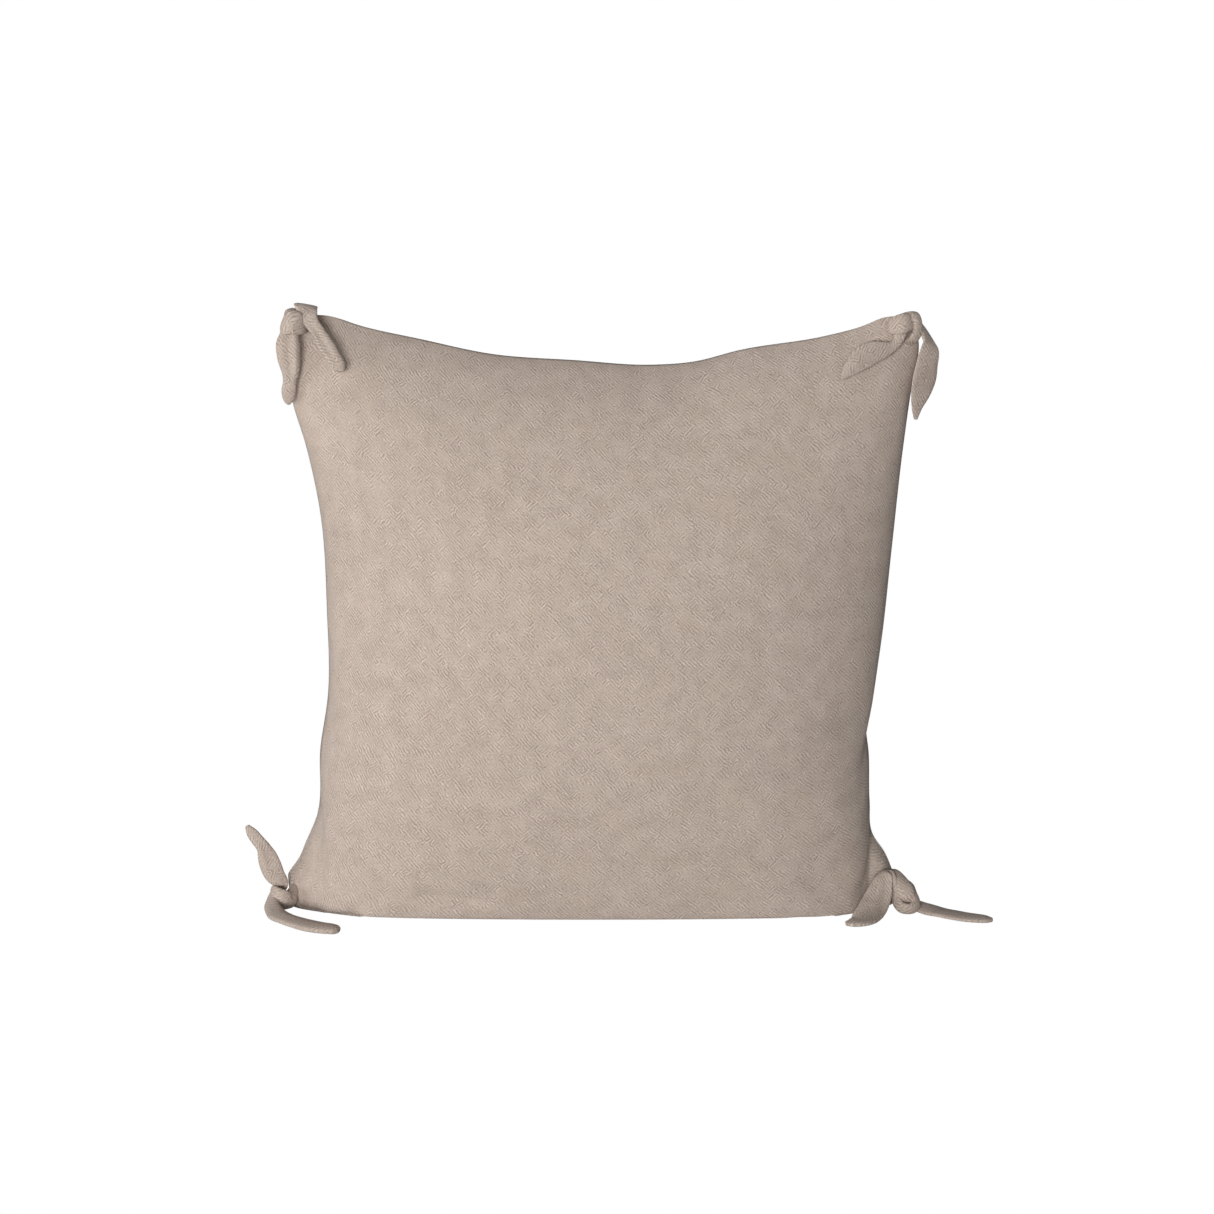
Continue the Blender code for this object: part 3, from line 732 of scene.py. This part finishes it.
TIES["top_left_front"] = strip("tie_top_left_crossing", "top_left", [
    (5, 1, -10, 10, 6, FRONT), (0, -3, -11, 11, 6, (-0.6, -1, 0)),
    (-3.5, -11, -11, 12, 6, (-1, -0.4, 0.1)), (0, -18, -8, 16, 6, (-0.5, -1, 0.2)),
    (7, -20.5, -4.5, 22, 6, (0.1, -1, 0.1)), (12.5, -17, -7, 18, 6, (0.7, -0.9, 0)),
    (15.5, -10, -7, 12, 6, (1, 0.1, 0.1)), (14, -4, -2, 12, 6, (0.6, 0.9, 0.2)),
    (14.5, -2, 5, 17, 5, (0.1, 0.9, 0.4)), (16.5, -7, 9.5, 22, 4.5, (0.2, 0, 1)),
    (19, -13, 5, 18, 5, (0.1, -1, 0.5)), (22.5, -17, -4, 14, 6, (-0.3, -1, 0.2)),
    (29.5, -20, -13, 12.5, 7, (-0.2, -1, 0.1)), (37, -25, -25, 14.5, 8.5, FRONT),
    (44, -28, -36, 13, 8.5, FRONT), (48.5, -28, -43.5, 11.5, 7.5, FRONT), (51, -28, -47.5, 4, 4, FRONT),
], folds=[(0.7, 0.55, 0.97, 2.2), (0.1, 0.6, 0.95, -1.2)])

# %% Upper right knot
# The wrapped strip rises from the side seam, passes round the knot and its tail turns over and
# hangs beside the cushion. The other tail lies across the cushion's face and ends in a point.
TIES["top_right_front"] = strip("tie_top_right_lying", "top_right", [
    (-4, 1, -12, 10, 6, FRONT), (-9, -1, -6, 11, 6, FRONT), (-12, -6, -4, 11, 5, (0, -0.5, 1)),
    (-13, -12, -6, 12, 5, FRONT), (-14, -14, -15, 11, 5, FRONT), (-16, -14, -21, 9, 5.5, FRONT),
    (-21, -15, -26, 10, 5, FRONT), (-29.5, -18, -29, 16, 4.5, FRONT), (-40, -21, -31.5, 21, 4, FRONT),
    (-51, -24, -37.5, 20.5, 4, FRONT), (-61, -27, -47, 12, 3.5, FRONT),
    (-67, -28, -54.5, 2.5, 2.5, FRONT),
], folds=[(0.0, 0.62, 0.95, 0.8)])
TIES["top_right_back"] = strip("tie_top_right_hanging", "top_right", [
    (-9, 1, -24, 8, 4, (0.3, -1, -0.5)), (-3, -9, -21, 10, 5, (0.4, -1, -0.4)),
    (0.5, -14, -15, 10, 6, (0.5, -1, 0)), (1, -16, -6, 10, 6.5, (0.7, -0.8, 0.2)),
    (-2, -14, 1.5, 10, 6.5, (0.2, -0.6, 0.9)), (-8, -7, 1, 10, 6, (0, 0.3, 1)),
    (-16, -4, -4, 12, 6, (-0.5, 0.8, 0.4)), (-22, -11, -7, 15, 6, (-1, -0.3, 0.1)),
    (-18.5, -17, -7, 17, 6, (-0.6, -1, 0)), (-13, -20, -5.5, 18, 6, (0, -1, 0.1)),
    (-7, -17, -4.5, 16, 6, (0.4, -0.9, 0.1)), (-1, -9, -5, 12, 5, (0.4, -0.8, 0.4)),
    (5, -7, -9, 12, 5, (0.4, -0.4, 0.8)), (8.5, -7, -14.5, 16, 5, (0.3, -0.3, 1)),
    (12, -8, -21.5, 19, 4.5, (0.7, -0.5, 0.6)), (13.2, -10, -30, 20.5, 4, (0.5, -1, 0.1)),
    (11, -11, -42, 25, 4, (0.6, -1, 0)), (9, -11, -55, 27, 4, (0.6, -1, 0)),
    (6.2, -10, -68, 22.5, 4, (0.6, -1, 0)), (3.5, -9, -80, 13, 3.5, (0.6, -1, 0)),
    (2.5, -8, -92, 3, 3, (0.6, -1, 0)),
], folds=[(-0.6, 0.7, 1.0, 0.8)])

# %% Lower left knot
# One tail stands up and away from the cushion. The other comes round the left of the knot and
# lies forwards on the floor.
TIES["bottom_left_back"] = strip("tie_bottom_left_standing", "bottom_left", [
    (-5, 0, 6, 9, 5, FRONT), (-9, -9, 0, 13, 7, (0.4, -1, 0)), (-11, -19, -4, 17, 7, (0.5, -1, 0)),
    (-17, -23, -2, 19, 7, (-0.1, -1, 0.3)), (-24, -19, 1, 17, 7, (-0.8, -0.7, 0.3)),
    (-27, -11, 2, 13, 6, (-1, 0.3, 0.2)), (-23, -5, 4, 11, 6, (-0.3, 1, 0.2)),
    (-19, -6, 6, 12, 6, (0.3, 0.6, -0.4)), (-20.5, -9, 11, 15, 6, (0, 1, 0)),
    (-25.5, -10, 18, 19.5, 6, (0, 1, 0)), (-29.5, -10, 28, 20.5, 5.5, (0, 1, 0)),
    (-32.5, -9.5, 37, 18, 5.5, (0, 1, 0)), (-35.5, -9, 44, 13.5, 5.5, (0, 1, 0)),
    (-41, -8, 51, 12, 5.5, (0, 1, 0)), (-46.5, -7, 58, 10.5, 5, (0, 1, 0)),
    (-51, -6, 64.5, 4, 3, (0, 1, 0)),
], folds=[(0.4, 0.45, 0.9, -2.2), (-0.1, 0.45, 0.62, -1.5)])
TIES["bottom_left_front"] = strip("tie_bottom_left_floor", "bottom_left", [
    (-5, 2, 1, 9, 5, FRONT), (-11, 2, -3, 10, 6, FRONT), (-19, 0, -3, 10, 6, (-0.2, 1, 0.2)),
    (-26, -5, -2, 11, 7, (-1, 0.3, 0.3)), (-28.5, -15, -3, 13, 7, (-1, 0, 0.5)),
    (-26.5, -27, -5.5, 15, 7, (-0.5, -0.3, 1)), (-22.5, -39, -7.5, 16, 7, (-0.3, -0.2, 1)),
    (-16.5, -51, -8, 18, 7, (-0.1, -0.1, 1)), (-7, -62, -8, 19.5, 7, UP), (5, -72.5, -8, 21, 7, UP),
    (17, -81, -8, 22, 7.3, UP), (27, -86, -8, 21, 7.3, UP), (36, -89, -8, 19.5, 7, UP),
    (42, -90.3, -8.5, 15, 6.5, UP), (45, -91, -9, 7, 4, UP),
], folds=[(-0.2, 0.45, 0.75, 0.8)])

# %% Lower right knot
# One strip rises over the knot, passes through it and runs out along the floor. The other is the
# ring round the knot. It rises behind the knot's left side and falls forwards as a wide tail.
TIES["bottom_right_back"] = strip("tie_bottom_right_floor", "bottom_right", [
    (-8, 1, 2, 10, 6, FRONT), (-13, -6, 12, 11, 7, (-0.5, -0.5, 0.7)),
    (-9, -12, 20, 12, 7, (-0.2, -0.3, 1)), (-3, -18, 16.5, 14, 8, (0.4, -0.5, 0.8)),
    (0.5, -25, 10.5, 16, 8, (0.2, -0.9, 0.4)), (3, -29.5, 4, 15, 7.5, (0.1, -1, 0.1)),
    (4, -27, -3, 11, 5, (0, -1, -0.2)), (7, -20, -6, 12, 5, (0, -0.6, 0.9)),
    (14, -24, -8, 15, 5.5, (0, -0.4, 1)), (23, -32, -8.8, 19.5, 5.5, (0, -0.2, 1)),
    (33, -40, -9, 22.5, 5.5, UP), (43.5, -47, -9, 23, 5.3, UP), (53.5, -53, -9, 22, 5.3, UP),
    (63, -56.5, -9, 20, 5.3, UP), (72, -58.5, -9.2, 15, 5, UP), (77.6, -59, -9.7, 5, 3.5, UP),
])
TIES["bottom_right_front"] = strip("tie_bottom_right_wide", "bottom_right", [
    (3, 1, -3, 10, 6, FRONT), (8, -5, 4, 10, 6, (0.8, 0.4, 0.5)), (7, -14, 9, 11, 7, (0.7, -0.3, 0.8)),
    (9, -22, 4, 11, 7.5, (1, -0.6, 0.3)), (11, -29, -2, 11, 7.5, (0.8, -0.9, 0)),
    (8.5, -34, -6, 11, 7.5, (0.2, -1, -0.2)), (2, -36, -7, 11, 7.5, (-0.1, -1, -0.2)),
    (-4, -33, -5, 11, 7.5, (-0.6, -1, 0)), (-6.5, -27, 1, 11, 8, (-0.8, -0.8, 0.2)),
    (-8.5, -23, 10, 12, 8, (-0.9, -0.5, 0.3)), (-11, -19, 18, 13, 7, (-0.9, -0.2, 0.5)),
    (-15, -19, 22, 15, 6, (-0.6, -0.3, 0.8)), (-18.5, -23, 17, 18, 5.5, (-0.3, -0.8, 0.5)),
    (-22, -29, 9, 23, 5.5, (-0.1, -0.9, 0.5)), (-27, -38, 1, 26, 5.5, (0, -0.6, 0.8)),
    (-34, -51, -5, 27, 5.5, (0, -0.4, 1)), (-43.5, -65, -8.5, 25, 5.5, UP),
    (-52.5, -69.5, -9, 17, 5, UP), (-59, -70, -9.5, 6, 3.5, UP),
], folds=[(-0.45, 0.55, 0.80, -2.2), (0.05, 0.56, 0.78, 1.8), (0.5, 0.56, 0.75, -1.8)])

for key, (obj, length) in TIES.items():
    corner = key.rsplit("_", 1)[0]
    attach(obj, "ties_" + corner)
    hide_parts("tie_" + key)
    print(obj.name, "length", round(length * 1000), "mm")

# %% [markdown]
# ## Zip
# The zip is hidden in the lower seam. Its pieces keep the frame's shapes and get woven, nylon and
# metal finishes.

# %% Zip finishes
def zip_finish(name, dark, light, scale, roughness, metallic):
    made, tree, shader = new_material(name)
    place = tree.nodes.new("ShaderNodeTexCoord").outputs["Object"]
    grain = noise(tree, scaled(tree, place, scale), 1.0, 3.0)
    put(tree, shader.inputs["Base Color"], mix_colour(tree, grain, dark, light))
    put(tree, shader.inputs["Roughness"], remap(tree, grain, 0.3, 0.7, roughness - 0.06, roughness + 0.06))
    shader.inputs["Metallic"].default_value = metallic
    add_bump(tree, shader, grain, 0.3, 0.0001)
    return made


ZIP_FINISHES = {
    "zip_tape": zip_finish(
        "woven_tape", (0.40, 0.32, 0.26, 1), (0.55, 0.46, 0.38, 1), (1500, 1500, 400), 0.82, 0.0
    ),
    "zip_coil": zip_finish(
        "nylon_coil", (0.38, 0.31, 0.25, 1), (0.50, 0.42, 0.35, 1), (1800, 300, 300), 0.45, 0.0
    ),
    "zip": zip_finish(
        "brushed_metal", (0.52, 0.51, 0.48, 1), (0.68, 0.67, 0.64, 1), (300, 2500, 2500), 0.34, 1.0
    ),
}
for name, node in frame["nodes"].items():
    if name.startswith("zip"):
        key = next(start for start in ("zip_tape", "zip_coil", "zip") if name.startswith(start))
        node.data.materials.clear()
        node.data.materials.append(ZIP_FINISHES[key])
print("zip finishes made")

# %% [markdown]
# ## Floor and light
# A white floor runs into a white backdrop, so bright that no shadow shows on it. For the cushion it
# is only a pale floor that throws some light back. The main soft light stands in
# front, a little to the left, and a weaker one at the left side.

# %% Floor
FLOOR_REACH = 6.0
FLOOR_GREY = 0.16  # what the cushion meets of the floor
floor_points = [(x * FLOOR_REACH, y * FLOOR_REACH, 0) for x, y in ((-1, -1), (1, -1), (1, 1), (-1, 1))]
floor_white, floor_tree, floor_shader = new_material("floor_white")
floor_shader.inputs["Base Color"].default_value = (FLOOR_GREY, FLOOR_GREY, FLOOR_GREY, 1.0)
floor_shader.inputs["Roughness"].default_value = 0.9
seen_floor = floor_tree.nodes.new("ShaderNodeEmission")
floor_ray = floor_tree.nodes.new("ShaderNodeLightPath")
floor_choice = floor_tree.nodes.new("ShaderNodeMixShader")
floor_tree.links.new(floor_ray.outputs["Is Camera Ray"], floor_choice.inputs[0])
floor_tree.links.new(floor_shader.outputs[0], floor_choice.inputs[1])
floor_tree.links.new(seen_floor.outputs[0], floor_choice.inputs[2])
floor_tree.links.new(floor_choice.outputs[0], floor_tree.nodes["Material Output"].inputs[0])
floor = add_mesh("floor", floor_points, [(0, 1, 2, 3)], floor_white)
print("floor", 2 * FLOOR_REACH, "m across")

# %% Backdrop and light
AT_HORIZON, FROM_ABOVE = 0.87, 0.16  # strength of the room's light
world = bpy.data.worlds.new("studio")
bpy.context.scene.world = world
world.use_nodes = True
world_tree = world.node_tree
backdrop = world_tree.nodes["Background"]
ambient = world_tree.nodes.new("ShaderNodeBackground")
height = world_tree.nodes.new("ShaderNodeSeparateXYZ")
put(world_tree, height.inputs[0], world_tree.nodes.new("ShaderNodeTexCoord").outputs["Generated"])
ambience = remap(world_tree, height.outputs["Z"], 0.05, 0.60, AT_HORIZON, FROM_ABOVE)
put(world_tree, ambient.inputs["Strength"], ambience)
ray = world_tree.nodes.new("ShaderNodeLightPath")
choice = world_tree.nodes.new("ShaderNodeMixShader")
backdrop.inputs["Color"].default_value = (1.0, 1.0, 1.0, 1.0)
backdrop.inputs["Strength"].default_value = 1.0
world_tree.links.new(ray.outputs["Is Camera Ray"], choice.inputs[0])
world_tree.links.new(ambient.outputs[0], choice.inputs[1])
world_tree.links.new(backdrop.outputs[0], choice.inputs[2])
world_tree.links.new(choice.outputs[0], world_tree.nodes["World Output"].inputs[0])
bpy.context.scene.view_settings.view_transform = "Standard"


def soft_light(name, place, power):
    data = bpy.data.lights.new(name, "AREA")
    data.shape = "RECTANGLE"
    data.size, data.size_y = LIGHT_SIZE
    data.energy = power
    obj = bpy.data.objects.new(name, data)
    obj.location = place
    obj.rotation_euler = (LIGHT_AIM - Vector(place)).to_track_quat("-Z", "Y").to_euler()
    bpy.context.scene.collection.objects.link(obj)
    print(name, power, "W")


LIGHT_SIZE = (2.0, 0.7)
LIGHT_AIM = Vector((0.0, 0.0, 0.30))
soft_light("window_front", (-1.0, -3.35, 0.40), 87.0)
soft_light("window_left", (-3.3, -1.2, 0.40), 36.0)
